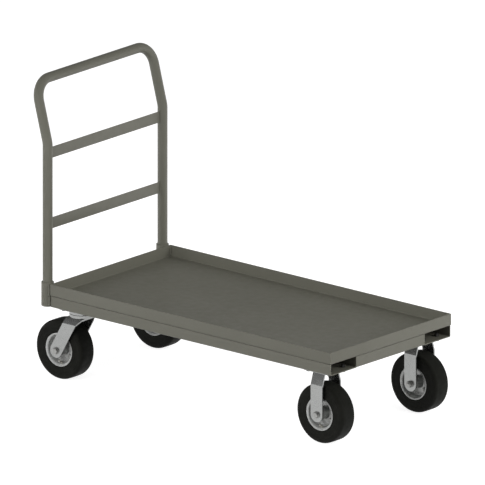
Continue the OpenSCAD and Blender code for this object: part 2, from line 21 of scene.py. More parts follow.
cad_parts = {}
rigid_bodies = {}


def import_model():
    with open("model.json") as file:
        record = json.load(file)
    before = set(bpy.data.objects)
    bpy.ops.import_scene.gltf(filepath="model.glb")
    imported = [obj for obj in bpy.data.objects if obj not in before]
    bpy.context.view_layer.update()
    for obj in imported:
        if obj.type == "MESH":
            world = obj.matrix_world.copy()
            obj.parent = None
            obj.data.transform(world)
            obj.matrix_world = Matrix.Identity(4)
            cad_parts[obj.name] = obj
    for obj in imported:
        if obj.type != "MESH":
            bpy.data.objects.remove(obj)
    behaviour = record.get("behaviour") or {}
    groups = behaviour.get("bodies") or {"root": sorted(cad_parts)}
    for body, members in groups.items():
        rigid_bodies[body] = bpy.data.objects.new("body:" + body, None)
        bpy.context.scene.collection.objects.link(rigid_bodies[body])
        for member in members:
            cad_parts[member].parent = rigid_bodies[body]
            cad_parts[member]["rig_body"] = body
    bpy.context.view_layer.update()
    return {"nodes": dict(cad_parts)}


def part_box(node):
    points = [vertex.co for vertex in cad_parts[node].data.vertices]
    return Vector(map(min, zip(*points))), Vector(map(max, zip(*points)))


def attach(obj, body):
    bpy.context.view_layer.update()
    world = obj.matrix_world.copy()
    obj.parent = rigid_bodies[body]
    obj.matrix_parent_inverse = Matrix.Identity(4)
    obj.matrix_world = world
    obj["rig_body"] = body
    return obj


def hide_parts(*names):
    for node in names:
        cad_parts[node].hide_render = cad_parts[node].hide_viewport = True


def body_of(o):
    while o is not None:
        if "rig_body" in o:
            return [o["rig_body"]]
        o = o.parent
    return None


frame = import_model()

MM = 0.001
SHARP_ANGLE = math.radians(32)
PLATE_T = 6.4 * MM
THREAD_CLEAR = 0.1 * MM
THREAD_PITCH = 1.4 * MM
THREAD_DEPTH = 0.09
THREAD = 9.8 * MM
STUD_END = 3 * MM
HEX_FACE = 0.97
HEX_CHAMFER = math.tan(math.radians(30))
RIPPLE = 2.1 * MM
RIPPLE_STEPS = 4
FLIP = Matrix.Rotation(math.pi, 4, "X")
TIP_UP = Matrix.Rotation(math.pi / 2, 4, "X")

log = logging.getLogger("platform_truck")

Outline = list[Vector]
Corner = tuple[float, ...]
Span = tuple[float, float]
Triple = tuple[float, float, float]
Socket = bpy.types.NodeSocket


class Slot(Enum):
    """The record's material slots."""

    PAINT = "gray_paint"
    ZINC = "zinc_plate"
    FASTENER = "zinc_fasteners"
    STEEL = "bearing_steel"
    BRASS = "valve_brass"
    TYRE = "tyre_rubber"
    TUBE = "tube_rubber"


class Side(Enum):
    """Which side of the truck, as the sign of its Y."""

    LEFT = 1
    RIGHT = -1

    def node(self, name: str) -> str:
        """The name of a node on this side."""
        return f"{self.name.lower()}_{name}"


class End(Enum):
    """Which end of the truck: rigid casters in front, swivel casters behind."""

    FRONT = "front"
    REAR = "rear"


# ---------------------------------------------------------------- places and outlines


@dataclass(frozen=True)
class Box:
    """Where a node lies at rest."""

    low: Vector
    high: Vector

    @classmethod
    def of(cls, node: str) -> "Box":
        """The box of a node."""
        return cls(*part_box(node))

    @property
    def middle(self) -> Vector:
        """The box's middle."""
        return (self.low + self.high) / 2

    @property
    def size(self) -> Vector:
        """The box's size along each axis."""
        return self.high - self.low


def shift(x: float, y: float, z: float) -> Matrix:
    """A move, as a matrix."""
    return Matrix.Translation((x, y, z))


def polar(radius: float, angle: float, height: float) -> Vector:
    """The point at a radius, an angle and a height."""
    return Vector((radius * math.cos(angle), radius * math.sin(angle), height))


def turns(count: int) -> list[float]:
    """Even angles round a circle."""
    return [math.tau * k / count for k in range(count)]


def headings(route: Outline) -> Outline:
    """Which way a route runs at each of its points."""
    last = len(route) - 1
    return [(route[min(i + 1, last)] - route[max(i - 1, 0)]).normalized() for i in range(last + 1)]


def rectangle(half_x: float, half_y: float, radius: float) -> list[Corner]:
    """The four corners of a rectangle round the origin, with their radius, for rounded()."""
    return [(sx * half_x, sy * half_y, radius) for sx, sy in ((-1, -1), (1, -1), (1, 1), (-1, 1))]


def rounded(corners: Sequence[Corner], closed: bool = True, steps: int = 6) -> Outline:
    """Rounds the corners of an outline or a route with arcs.

    Args:
        corners: The corners, each with its two or three coordinates and then its radius.
        closed: Whether the last corner joins the first.
        steps: How many stretches each arc has.

    Returns:
        The points of the rounded outline, in order.
    """
    places = [Vector(corner[:-1]) for corner in corners]
    points: Outline = []
    for i, place in enumerate(places):
        radius = corners[i][-1]
        if radius <= 0 or (not closed and i in (0, len(corners) - 1)):
            points.append(place)
            continue
        back = (places[i - 1] - place).normalized()
        ahead = (places[(i + 1) % len(places)] - place).normalized()
        opening = back.angle(ahead)
        turn = math.pi - opening
        centre = place + (back + ahead).normalized() * (radius / math.sin(opening / 2))
        tangent = radius / math.tan(opening / 2)
        start = place + back * tangent - centre
        end = place + ahead * tangent - centre
        for k in range(steps + 1):
            near = math.sin((1 - k / steps) * turn) / math.sin(turn)
            far = math.sin(k / steps * turn) / math.sin(turn)
            points.append(centre + start * near + end * far)
    return points


def resampled(route: Outline, pitch: float) -> Outline:
    """Divides a route into even stretches.

    Args:
        route: The route's points.
        pitch: About how long each stretch is.

    Returns:
        Points at even distances along the route, its two ends among them.
    """
    lengths = [0.0]
    for a, b in zip(route, route[1:]):
        lengths.append(lengths[-1] + (b - a).length)
    count = max(2, round(lengths[-1] / pitch))
    points, leg = [], 0
    for k in range(count + 1):
        run = lengths[-1] * k / count
        while leg < len(route) - 2 and lengths[leg + 1] < run:
            leg += 1
        share = (run - lengths[leg]) / (lengths[leg + 1] - lengths[leg])
        points.append(route[leg].lerp(route[leg + 1], min(1.0, share)))
    return points


def circles_along(route: Outline, radii: Sequence[float], segments: int) -> list[Outline]:
    """Rings round a route that turn with it and never twist.

    Args:
        route: The route's points.
        radii: The ring's radius at each point.
        segments: How many points each ring has.

    Returns:
        One ring for each point of the route.
    """
    ahead = headings(route)
    across = ahead[0].orthogonal().normalized()
    rings = []
    for i, (centre, radius) in enumerate(zip(route, radii)):
        if i:
            across = (ahead[i - 1].rotation_difference(ahead[i]) @ across).normalized()
        other = ahead[i].cross(across)
        spokes = [across * math.cos(a) + other * math.sin(a) for a in turns(segments)]
        rings.append([centre + spoke * radius for spoke in spokes])
    return rings


# ---------------------------------------------------------------- meshes


class Shell:
    """Points and faces of one mesh, gathered shape by shape, in metres."""

    def __init__(self) -> None:
        """Starts with no points and no faces."""
        self.points: list[Vector] = []
        self.faces: list[list[int]] = []

    def skin(
        self,
        rings: Sequence[Sequence[Vector]],
        place: Matrix | None = None,
        looped: bool = False,
        capped: bool = True,
    ) -> "Shell":
        """Joins rings of points, each with the next, by rows of four-sided faces.

        Args:
            rings: The rings, each with the same number of points.
            place: Moves the points to their place, or None to leave them.
            looped: Whether the last ring joins the first.
            capped: Whether the first and last rings are closed by a face, if not looped.

        Returns:
            This shell.
        """
        first, width, rows = len(self.points), len(rings[0]), len(rings)
        for ring in rings:
            self.points.extend(place @ point if place else point for point in ring)
        for row in range(rows if looped else rows - 1):
            near, far = first + row * width, first + (row + 1) % rows * width
            for k in range(width):
                step = (k + 1) % width
                self.faces.append([near + k, near + step, far + step, far + k])
        if capped and not looped:
            self.faces.append([first + k for k in reversed(range(width))])
            self.faces.append([first + (rows - 1) * width + k for k in range(width)])
        return self

    def extrude(self, outline: Outline, low: float, high: float, place: Matrix) -> "Shell":
        """Draws a flat outline out along its own Z, from low to high."""
        return self.skin([[Vector((p.x, p.y, z)) for p in outline] for z in (low, high)], place)

    def lathe(self, outline: Outline, place: Matrix, segments: int = 96) -> "Shell":
        """Turns a closed outline of radii and heights about its own Z."""
        rings = [[polar(p.x, angle, p.y) for p in outline] for angle in turns(segments)]
        return self.skin(rings, place, looped=True)

    def pipe(self, route: Outline, outer: float, inner: float, segments: int) -> "Shell":
        """Draws a tube along a route, with its outer radius and that of its bore."""
        out, bore = (circles_along(route, [r] * len(route), segments) for r in (outer, inner))
        return self.skin(out + bore[::-1], looped=True)

    def hexagon(
        self, corner_r: float, height: float, place: Matrix, bore_r: float = 0.0, both: bool = True
    ) -> "Shell":
        """A hexagonal head or nut whose corners are chamfered by a cone.

        Args:
            corner_r: The radius out to its corners.
            height: How tall it is.
            place: Moves its lower face to its place.
            bore_r: The radius of its bore, or 0 for a solid head.
            both: Whether the lower face is chamfered as well as the upper.

        Returns:
            This shell.
        """
        flat_r = corner_r * math.cos(math.pi / 6)
        face_r = flat_r * HEX_FACE
        columns = []
        for angle in turns(48):
            side = flat_r / math.cos(angle % (math.pi / 3) - math.pi / 6)
            drop = (side - face_r) * HEX_CHAMFER
            foot = [(face_r, 0), (side, drop)] if both else [(side, 0), (side, 0)]
            top = [(side, height - drop), (face_r, height), (bore_r, height)]
            section = [(bore_r, 0), *foot, *top]
            columns.append([polar(radius, angle, level) for radius, level in section])
        return self.skin(list(zip(*columns)), place, looped=bore_r > 0, capped=False)

    def stud(self, radius: float, low: float, high: float, thread: float, place: Matrix) -> "Shell":
        """A bolt's shank with a chamfered end and a thread on its last stretch.

        Args:
            radius: The shank's radius.
            low: Where it starts along its own Z.
            high: Where it ends.
            thread: How long the thread is.
            place: Moves it to its place.

        Returns:
            This shell.
        """
        depth, count = THREAD_DEPTH * radius, int(thread / THREAD_PITCH)
        section = [(0, low), (radius, low)]
        for k in range(count, 0, -1):
            start = high - depth - k * THREAD_PITCH
            section += [(radius, start), (radius - depth, start + THREAD_PITCH / 2)]
        section += [(radius, high - 2 * depth), (radius - 2 * depth, high), (0, high)]
        return self.lathe([Vector(p) for p in section], place, 32)

    def bead(self, corners: Sequence[Corner], radius: float) -> "Shell":
        """A weld bead: a rounded ridge with the uneven ripples of its making and blunt ends.

        Args:
            corners: The corners of its route, each with its coordinates and its radius.
            radius: The bead's radius.

        Returns:
            This shell.
        """
        pitch = RIPPLE / RIPPLE_STEPS
        route = resampled(rounded(corners, closed=False, steps=4), pitch)
        radii = []
        for k in range(len(route)):
            beat = k / RIPPLE_STEPS + 0.3 * math.sin(0.37 * k) + 0.2 * math.sin(0.113 * k)
            wander = 0.02 * math.sin(0.19 * k) + 0.02 * math.sin(0.071 * k + 1)
            to_end = min(k, len(route) - 1 - k) * pitch / radius
            blunt = math.sqrt(max(0.04, 1 - max(0.0, 1 - to_end) ** 2))
            rise = 0.90 + 0.06 * abs(math.sin(math.pi * beat)) + wander
            radii.append(radius * rise * blunt)
        return self.skin(circles_along(route, radii, 12))

    def seam(self, start: Iterable[float], end: Iterable[float], radius: float) -> "Shell":
        """A straight weld bead from start to end."""
        return self.bead([(*start, 0), (*end, 0)], radius)

    def make(self, name: str) -> bpy.types.Object:
        """Makes the mesh object.

        Args:
            name: The object's name.

        Returns:
            The object, shaded smooth up to its sharp edges.
        """
        mesh = bpy.data.meshes.new(name)
        mesh.from_pydata(self.points, [], self.faces)
        solid = bmesh.new()
        solid.from_mesh(mesh)
        bmesh.ops.remove_doubles(solid, verts=solid.verts, dist=1e-6)
        bmesh.ops.dissolve_degenerate(solid, edges=solid.edges, dist=1e-7)
        bmesh.ops.recalc_face_normals(solid, faces=solid.faces)
        solid.to_mesh(mesh)
        solid.free()
        mesh.shade_smooth()
        mesh.set_sharp_from_angle(angle=SHARP_ANGLE)
        return placed(name, mesh)


def placed(name: str, data: bpy.types.ID) -> bpy.types.Object:
    """Puts a mesh, a lamp or a camera in the scene.

    Args:
        name: The object's name.
        data: What it shows.

    Returns:
        The object.
    """
    piece = bpy.data.objects.new(name, data)
    bpy.context.scene.collection.objects.link(piece)
    return piece


# ---------------------------------------------------------------- finishes


class Nodes:
    """Adds nodes to a tree and joins them."""

    def __init__(self, owner: bpy.types.Material | bpy.types.World) -> None:
        """Starts on the nodes of a material or of the world."""
        owner.use_nodes = True
        self.tree = owner.node_tree

    @staticmethod
    def socket(sockets: Iterable[Socket], name: str) -> Socket:
        """The socket with a name or an identifier, written with _ for each space."""
        return next(s for s in sockets if name in (s.identifier, s.name.replace(" ", "_")))

    def feed(self, node: bpy.types.Node, **inputs: "Socket | float | Triple") -> bpy.types.Node:
        """Sets or joins a node's inputs.

        Args:
            node: The node.
            inputs: What goes to each input: a value for all of the surface, or a socket.

        Returns:
            The node.
        """
        for name, value in inputs.items():
            socket = self.socket(node.inputs, name)
            if isinstance(value, Socket):
                self.tree.links.new(value, socket)
            else:
                socket.default_value = (*value, 1.0) if socket.type == "RGBA" else value
        return node

    def add(self, kind: str, **inputs: "Socket | float | Triple") -> bpy.types.Node:
        """Adds a node of a kind, named without its ShaderNode prefix, and feeds its inputs."""
        return self.feed(self.tree.nodes.new(f"ShaderNode{kind}"), **inputs)


@dataclass(frozen=True)
class Grain:
    """Soft noise: its cells in a metre, its finer layers, and how much closer they are by axis."""

    scale: float
    layers: float
    stretch: Triple = (1, 1, 1)


@dataclass(frozen=True)
class Relief:
    """A relief: its depth in metres, how much of it shows, and its grain or the patches' own."""

    depth: float
    strength: float
    grain: Grain | None


@dataclass(frozen=True)
class Finish:
    """What a surface is made of: two colours in soft patches, an uneven gloss and a relief."""

    slot: Slot
    colours: tuple[Triple, Triple]
    patches: Grain
    roughness: Span
    gloss: Grain
    reliefs: tuple[Relief, ...]
    window: Span = (0.35, 0.65)
    gloss_window: Span = (0.3, 0.7)
    metallic: float = 0.0
    specular: float = 0.5
    rubbed: Triple | None = None
    rub: Span = (0, 0.55)
    rub_window: Span = (0.54, 0.62)
    suffix: str = ""

    def mix(self) -> bpy.types.Material:
        """Mixes the material round its Principled shader.

        Returns:
            The material.
        """
        material = bpy.data.materials.new(self.slot.value + self.suffix)
        nodes = Nodes(material)
        place = nodes.add("TexCoord").outputs["Object"]

        def noise(grain: Grain) -> Socket:
            """Soft noise in the piece's own space.

            Args:
                grain: Its grain.

            Returns:
                The noise, about 0 to 1.
            """
            spot = nodes.add("Mapping", Vector=place, Scale=grain.stretch).outputs[0]
            values = {"Scale": grain.scale, "Detail": grain.layers, "Roughness": 0.55}
            return nodes.add("TexNoise", Vector=spot, **values).outputs["Fac"]

        def spread(source: Socket, window: Span, result: Span) -> Socket:
            """Spreads the window of a value over the stretch of its result."""
            ends = zip(("From_Min", "From_Max", "To_Min", "To_Max"), (*window, *result))
            return nodes.add("MapRange", Value=source, **dict(ends)).outputs["Result"]

        def blend(share: Socket, first: Socket | Triple, second: Triple) -> Socket:
            """Mixes two colours.

            Args:
                share: How much of the second colour there is.
                first: The first colour, or the socket that it comes from.
                second: The second colour.

            Returns:
                The mixed colour.
            """
            mixer = nodes.add("Mix")
            mixer.data_type = "RGBA"
            nodes.feed(mixer, Factor=share, A_Color=first, B_Color=second)
            return nodes.socket(mixer.outputs, "Result_Color")

        patches = spread(noise(self.patches), self.window, (0, 1))
        colour = blend(patches, *self.colours)
        if self.rubbed:
            outer_edges = nodes.add("NewGeometry").outputs["Pointiness"]
            colour = blend(spread(outer_edges, self.rub_window, self.rub), colour, self.rubbed)
        shader = nodes.feed(
            nodes.tree.nodes["Principled BSDF"],
            Metallic=self.metallic,
            Specular_IOR_Level=self.specular,
            Base_Color=colour,
            Roughness=spread(noise(self.gloss), self.gloss_window, self.roughness),
        )
        for relief in self.reliefs:
            height = noise(relief.grain) if relief.grain else patches
            bump = nodes.add("Bump", Height=height, Distance=relief.depth, Strength=relief.strength)
            for link in shader.inputs["Normal"].links:
                nodes.feed(bump, Normal=link.from_socket)
            nodes.feed(shader, Normal=bump.outputs[0])
        return material


@dataclass(frozen=True)
class PowderCoat(Finish):
    """Baked grey coating: faint clouds, a fine orange peel and edges rubbed a little paler."""

    slot: Slot = Slot.PAINT
    colours: tuple[Triple, Triple] = ((0.129, 0.127, 0.102), (0.136, 0.134, 0.108))
    patches: Grain = Grain(5, 4)
    roughness: Span = (0.44, 0.54)
    gloss: Grain = Grain(40, 3)
    reliefs: tuple[Relief, ...] = (
        Relief(0.00025, 0.22, Grain(650, 2)),
        Relief(0.00006, 0.25, Grain(2600, 1)),
    )
    rubbed: Triple = (0.168, 0.165, 0.138)


@dataclass(frozen=True)
class ZincPlate(Finish):
    """Satin zinc on the formed forks, with a faint spangle and the drag of the press."""

    slot: Slot = Slot.ZINC
    colours: tuple[Triple, Triple] = ((0.305, 0.31, 0.305), (0.325, 0.33, 0.325))
    patches: Grain = Grain(120, 3)
    roughness: Span = (0.22, 0.29)
    gloss: Grain = Grain(55, 3)
    reliefs: tuple[Relief, ...] = (Relief(0.00006, 0.04, Grain(300, 2, (1, 1, 0.12))),)
    metallic: float = 0.93


@dataclass(frozen=True)
class RimZinc(ZincPlate):
    """Paler, matter zinc of the pressed rims."""

    colours: tuple[Triple, Triple] = ((0.43, 0.435, 0.425), (0.46, 0.465, 0.455))
    roughness: Span = (0.22, 0.32)
    metallic: float = 0.35
    suffix: str = "_rims"


@dataclass(frozen=True)
class Fasteners(Finish):
    """Zinc on bolts and nuts, patchier on their small faces than on the sheet."""

    slot: Slot = Slot.FASTENER
    colours: tuple[Triple, Triple] = ((0.30, 0.30, 0.29), (0.38, 0.38, 0.37))
    patches: Grain = Grain(260, 3)
    roughness: Span = (0.34, 0.48)
    gloss: Grain = Grain(180, 2)
    reliefs: tuple[Relief, ...] = (Relief(0.00008, 0.2, Grain(900, 2)),)
    metallic: float = 0.85


@dataclass(frozen=True)
class ShadeBlackedFasteners(Fasteners):
    """Bolts and nuts that hold the casters, coloured nearly black as painted shade so they sink
    into the shade inside the channels.
    """

    # Painted shade: nearly black, so the nuts inside the channel ends show as shade rather than as
    # zinc.
    colours: tuple[Triple, Triple] = ((0.030, 0.030, 0.028), (0.045, 0.045, 0.042))
    metallic: float = 0.4
    suffix: str = "_dull"


@dataclass(frozen=True)
class GroundSteel(Finish):
    """Ground and polished bearing steel with fine turning marks."""

    slot: Slot = Slot.STEEL
    colours: tuple[Triple, Triple] = ((0.36, 0.365, 0.37), (0.50, 0.50, 0.50))
    patches: Grain = Grain(700, 2, (1, 0.1, 1))
    roughness: Span = (0.20, 0.34)
    gloss: Grain = Grain(90, 2)
    reliefs: tuple[Relief, ...] = (Relief(0.00003, 0.2, None),)
    metallic: float = 1.0


@dataclass(frozen=True)
class ValveBrass(Finish):
    """Nickelled brass of the valve stems: bright, with the brass showing faintly through."""

    slot: Slot = Slot.BRASS
    colours: tuple[Triple, Triple] = ((0.72, 0.70, 0.65), (0.58, 0.55, 0.48))
    patches: Grain = Grain(220, 3)
    window: Span = (0.4, 0.7)
    roughness: Span = (0.12, 0.26)
    gloss: Grain = Grain(300, 2)
    reliefs: tuple[Relief, ...] = (Relief(0.00005, 0.2, Grain(1200, 1)),)
    metallic: float = 1.0


@dataclass(frozen=True)
class Rubber(Finish):
    """Moulded rubber: nearly black, a little bloomed, with a matt fine skin."""

    slot: Slot = Slot.TYRE
    colours: tuple[Triple, Triple] = ((0.0085, 0.0088, 0.0072), (0.0115, 0.0117, 0.0098))
    patches: Grain = Grain(28, 5)
    window: Span = (0.38, 0.70)
    roughness: Span = (0.60, 0.74)
    gloss: Grain = Grain(60, 3)
    reliefs: tuple[Relief, ...] = (Relief(0.00012, 0.3, Grain(1500, 2)),)
    specular: float = 0.10


@dataclass(frozen=True)
class InnerTube(Rubber):
    """Softer, smoother rubber of the inner tubes."""

    slot: Slot = Slot.TUBE
    colours: tuple[Triple, Triple] = ((0.020, 0.020, 0.020), (0.034, 0.034, 0.033))
    roughness: Span = (0.42, 0.55)


PAINT, ZINC, RIM_ZINC = PowderCoat(), ZincPlate(), RimZinc()
FASTENER, SHADE_BLACKED_FASTENER, STEEL = Fasteners(), ShadeBlackedFasteners(), GroundSteel()
BRASS, TYRE, TUBE = ValveBrass(), Rubber(), InnerTube()


# ---------------------------------------------------------------- workshop


class Workshop:
    """Hangs finished pieces on the frame and dresses them."""

    def __init__(self) -> None:
        """Starts with no finish mixed."""
        self.materials: dict[Finish, bpy.types.Material] = {}

    def dress(self, piece: bpy.types.Object, finish: Finish, edge: float) -> None:
        """Gives a piece its one finish, mixed when it is first asked for, and soft edges.

        Args:
            piece: The piece.
            finish: The finish.
            edge: The width that its sharp edges are broken by, or 0.
        """
        if finish not in self.materials:
            self.materials[finish] = finish.mix()
        piece.data.materials.clear()
        piece.data.materials.append(self.materials[finish])
        if edge:
            soften(piece, edge)

    def hang(
        self, shell: Shell, name: str, finish: Finish, node: str,
        edge: float = 0.0, stands_for: bool = True,
    ) -> bpy.types.Object:
        """Makes a piece and hangs it on the body of a node.

        Args:
            shell: The piece's shapes.
            name: The piece's name.
            finish: Its finish.
            node: The node whose body it rides on.
            edge: The width that its sharp edges are broken by.
            stands_for: Whether the piece replaces that node.

        Returns:
            The piece.
        """
        piece = shell.make(name)
        self.dress(piece, finish, edge)
        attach(piece, body_of(frame["nodes"][node])[0])
        if stands_for:
            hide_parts(node)
        log.info("%s: %d faces", name, len(piece.data.polygons))
        return piece

    def keep(self, node: str, finish: Finish, edge: float = 0.0) -> None:
        """Keeps a node's own shape and dresses it.

        Args:
            node: The node.
            finish: Its finish.
            edge: The width that its sharp edges are broken by.
        """
        self.dress(frame["nodes"][node], finish, edge)
        log.info("%s: kept", node)


def soften(piece: bpy.types.Object, width: float) -> None:
    """Breaks a piece's sharp edges.

    Args:
        piece: The piece.
        width: How wide the broken edge is.
    """
    bevel = piece.modifiers.new("edges", "BEVEL")
    bevel.width = width
    bevel.segments = 2
    bevel.limit_method = "ANGLE"
    bevel.angle_limit = math.radians(40)
    bevel.harden_normals = True


def facing(side: Side) -> Matrix:
    """Turns a shape's own Z to the outer side of a wheel, square to the truck."""
    return Matrix.Rotation(-side.value * math.pi / 2, 4, "X")


@dataclass
class SubAssembly(ABC):
    """A part of the truck, which builds its own pieces."""

    shop: Workshop

    @abstractmethod
    def build(self) -> None:
        """Builds the pieces and hangs them in the workshop."""


# ---------------------------------------------------------------- deck and frame


@dataclass
class Deck(SubAssembly):
    """The deck: one sheet with a lip bent up along each side and its corners welded."""

    sheet: float = 3.1 * MM
    bend: float = 2.2 * MM
    edge: float = 0.5 * MM
    corner: float = 1.4 * MM
    sharpest: float = 0.5 * MM
    weld: float = 3.2 * MM

    def build(self) -> None:
        """Builds the tray and the welds in its corners."""
        low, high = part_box("deck_tray")
        turn, floor = self.sheet + self.bend, low.z + self.sheet
        lip = [
            (turn, low.z, 0), (0, low.z, turn), (0, high.z, self.edge),
            (self.sheet, high.z, self.edge), (self.sheet, floor, self.bend), (turn, floor, 0),
        ]
        section = rounded(lip, closed=False, steps=5)
        rings = [self.ring(low, high, point.x, point.y) for point in section]
        self.shop.hang(Shell().skin(rings), "deck_tray_sheet", PAINT, "deck_tray")
        self.corner_welds(low, high)

    def ring(self, low: Vector, high: Vector, inset: float, level: float) -> Outline:
        """One ring round the tray.

        Args:
            low: The tray's lowest corner.
            high: Its highest corner.
            inset: How far in from the lips' outer faces it lies.
            level: How high it lies.

        Returns:
            The ring's points.
        """
        middle = (low + high) / 2
        half = (high - low) / 2
        radius = max(self.corner - inset, self.sharpest)
        outline = rounded(rectangle(half.x - inset, half.y - inset, radius), steps=4)
        return [Vector((middle.x + p.x, middle.y + p.y, level)) for p in outline]

    def corner_welds(self, low: Vector, high: Vector) -> None:
        """Lays the upright weld in each corner of the tray.

        Args:
            low: The tray's lowest corner.
            high: Its highest corner.
        """
        shell = Shell()
        inset = self.sheet + 0.35 * self.weld
        bottom, top = low.z + self.sheet + self.weld, high.z - 0.7 * self.weld
        for x in (low.x + inset, high.x - inset):
            for y in (low.y + inset, high.y - inset):
                shell.seam((x, y, bottom), (x, y, top), self.weld)
        self.shop.hang(shell, "deck_corner_welds", PAINT, "deck_tray", stands_for=False)


CROSS_CHANNELS = tuple(
    f"{place}_cross_channel" for place in ("front", "front_middle", "rear_middle", "rear")
)


@dataclass
class FrameChannels(SubAssembly):
    """The formed channels under the deck, and the welds that hold them."""

    steel: float = 3.0 * MM
    bend: float = 0.9 * MM
    edge: float = 0.5 * MM
    weld: float = 2.4 * MM
    stitch: float = 42 * MM
    stitch_pitch: float = 245 * MM

    def build(self) -> None:
        """Builds the six channels and their welds."""
        for side in Side:
            node = side.node("side_channel")
            size = Box.of(node).size
            self.channel(node, size.x, size.y, Matrix.Rotation(math.pi / 2, 4, "Z") @ TIP_UP)
        for node in CROSS_CHANNELS:
            size = Box.of(node).size
            self.channel(node, size.y, size.x, TIP_UP)
        self.cross_welds()
        self.stitch_welds()

    def channel(self, node: str, length: float, width: float, along: Matrix) -> None:
        """Builds one channel, open side up.

        Args:
            node: The node that it stands for.
            length: The channel's length.
            width: Its width over its flanges.
            along: Turns the channel's own Z to its length and its own Y up.
        """
        low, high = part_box(node)
        height, half = high.z - low.z, width / 2
        side = [
            (-half, 0, self.steel + self.bend),
            (half, 0, self.steel + self.bend),
            (half, height, self.edge),
            (half - self.steel, height, self.edge),
            (half - self.steel, self.steel, self.bend),
            (self.steel - half, self.steel, self.bend),
            (self.steel - half, height, self.edge),
            (-half, height, self.edge),
        ]
        middle = (low + high) / 2
        place = shift(middle.x, middle.y, low.z) @ along
        shell = Shell().extrude(rounded(side, steps=5), -length / 2, length / 2, place)
        self.shop.hang(shell, f"{node}_steel", PAINT, node, edge=0.35 * MM)

    def cross_welds(self) -> None:
        """Lays a weld across each end of each cross channel, under the frame."""
        shell = Shell()
        for node in CROSS_CHANNELS:
            low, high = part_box(node)
            ease, level = self.steel + self.bend + self.weld, low.z + 0.45 * self.weld
            for y in (low.y, high.y):
                shell.seam((low.x + ease, y, level), (high.x - ease, y, level), self.weld)
        self.shop.hang(shell, "cross_channel_welds", PAINT, "front_cross_channel", stands_for=False)

    def stitch_welds(self) -> None:
        """Lays short welds between the deck and the inner flange of each side channel."""
        shell = Shell()
        for side in Side:
            low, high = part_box(side.node("side_channel"))
            y = low.y if side is Side.LEFT else high.y
            count = int((high.x - low.x - self.stitch) / self.stitch_pitch)
            middle = (low.x + high.x) / 2
            for k in range(count):
                x = middle + (k - (count - 1) / 2) * self.stitch_pitch
                reach, level = self.stitch / 2, high.z - 0.3 * self.weld
                shell.seam((x - reach, y, level), (x + reach, y, level), self.weld)
        self.shop.hang(shell, "deck_stitch_welds", PAINT, "left_side_channel", stands_for=False)


@dataclass
class HandleSockets(SubAssembly):
    """The two round sockets behind the deck, their welds and the plates in their feet."""

    wall: float = 3.6 * MM
    lip: float = 0.9 * MM
    weld: float = 4.6 * MM
    weld_angle: float = math.radians(38)

    def build(self) -> None:
        """Builds both sockets."""
        deck = Box.of("deck_tray")
        for side in Side:
            name = side.node("handle_socket")
            low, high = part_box(name)
            radius = (high.y - low.y) / 2
            centre = Vector((low.x + radius, (low.y + high.y) / 2, 0))
            wall = [
                (radius - self.wall, low.z, self.lip / 2),
                (radius, low.z, self.lip),
                (radius, high.z, self.lip),
                (radius - self.wall, high.z, self.lip),
            ]
            shell = Shell().lathe(rounded(wall, steps=4), shift(centre.x, centre.y, 0), 72)
            for turn in (-1, 1):
                x = centre.x + radius * math.cos(self.weld_angle)
                y = centre.y + turn * radius * math.sin(self.weld_angle)
                for bottom, top, lean in (
                    (low.z + self.weld, deck.low.z, 0.6 * self.weld),
                    (deck.low.z, deck.high.z - 0.6 * self.weld, 0.25 * self.weld),
                ):
                    shell.seam((x + lean, y, bottom), (x + lean, y, top), self.weld)
            self.shop.hang(shell, f"{name}_tube", PAINT, name)
        self.shop.keep("socket_stop_plates", PAINT, edge=0.4 * MM)


# ---------------------------------------------------------------- handle


@dataclass
class Handle(SubAssembly):
    """The handle: one bent tube with two flat crossbars welded between its uprights."""

    tube_wall: float = 3.4 * MM
    lean: float = math.radians(15)
    lean_length: float = 208.4 * MM
    knee_r: float = 60 * MM
    corner_r: float = 66 * MM
    weld: float = 2.3 * MM
    bar_t: float = 3.2 * MM
    bar_edge: float = 0.7 * MM
    bar_seat: float = 0.3 * MM

    def build(self) -> None:
        """Builds the tube, the crossbars and their welds."""
        low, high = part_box("handle_tube")
        left_y, right_y = (Box.of(side.node("handle_socket")).middle.y for side in Side)
        axis_y = (left_y - right_y) / 2
        radius = high.y - axis_y
        axis_x = Box.of("upper_crossbar").middle.x
        top_x, top_z = low.x + radius, high.z - radius
        knee_z = top_z - self.lean_length * math.cos(self.lean)
        left = [
            (axis_x, axis_y, low.z, 0),
            (axis_x, axis_y, knee_z, self.knee_r),
            (top_x, axis_y, top_z, self.corner_r),
        ]
        right = [(x, -y, z, bend) for x, y, z, bend in reversed(left)]
        route = rounded(left + right, closed=False, steps=16)
        tube = Shell().pipe(route, radius, radius - self.tube_wall, 48)
        self.shop.hang(tube, "handle_tube_bent", PAINT, "handle_tube", edge=0.4 * MM)
        for name in ("upper_crossbar", "lower_crossbar"):
            self.crossbar(name, axis_x, axis_y, radius)

    def crossbar(self, name: str, x: float, axis_y: float, radius: float) -> None:
        """Builds one crossbar and the weld round each of its ends.

        Args:
            name: The crossbar's node.
            x: Where the uprights' axes lie along the truck.
            axis_y: How far each axis lies from the truck's middle.
            radius: The tube's radius.
        """
        low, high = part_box(name)
        z = (low.z + high.z) / 2
        half_x, half_z = self.bar_t / 2, (high.z - low.z) / 2
        end = axis_y - math.sqrt(radius**2 - half_x**2) + self.bar_seat
        section = rounded(rectangle(half_x, half_z, self.bar_edge), steps=3)
        place = shift(x, 0, z) @ TIP_UP
        self.shop.hang(Shell().extrude(section, -end, end, place), f"{name}_bar", PAINT, name)
        welds = Shell()
        out_x, out_z = half_x + 0.4 * self.weld, half_z + 0.4 * self.weld
        round_bar = ((1, 1), (1, -1), (-1, -1), (-1, 1), (1, 1))
        for side in Side:
            y = side.value * (axis_y - radius)
            route = [(x + a * out_x, y, z + b * out_z, self.weld) for a, b in round_bar]
            welds.bead(route, self.weld)
        self.shop.hang(welds, f"{name}_welds", PAINT, name, stands_for=False)


# ---------------------------------------------------------------- casters


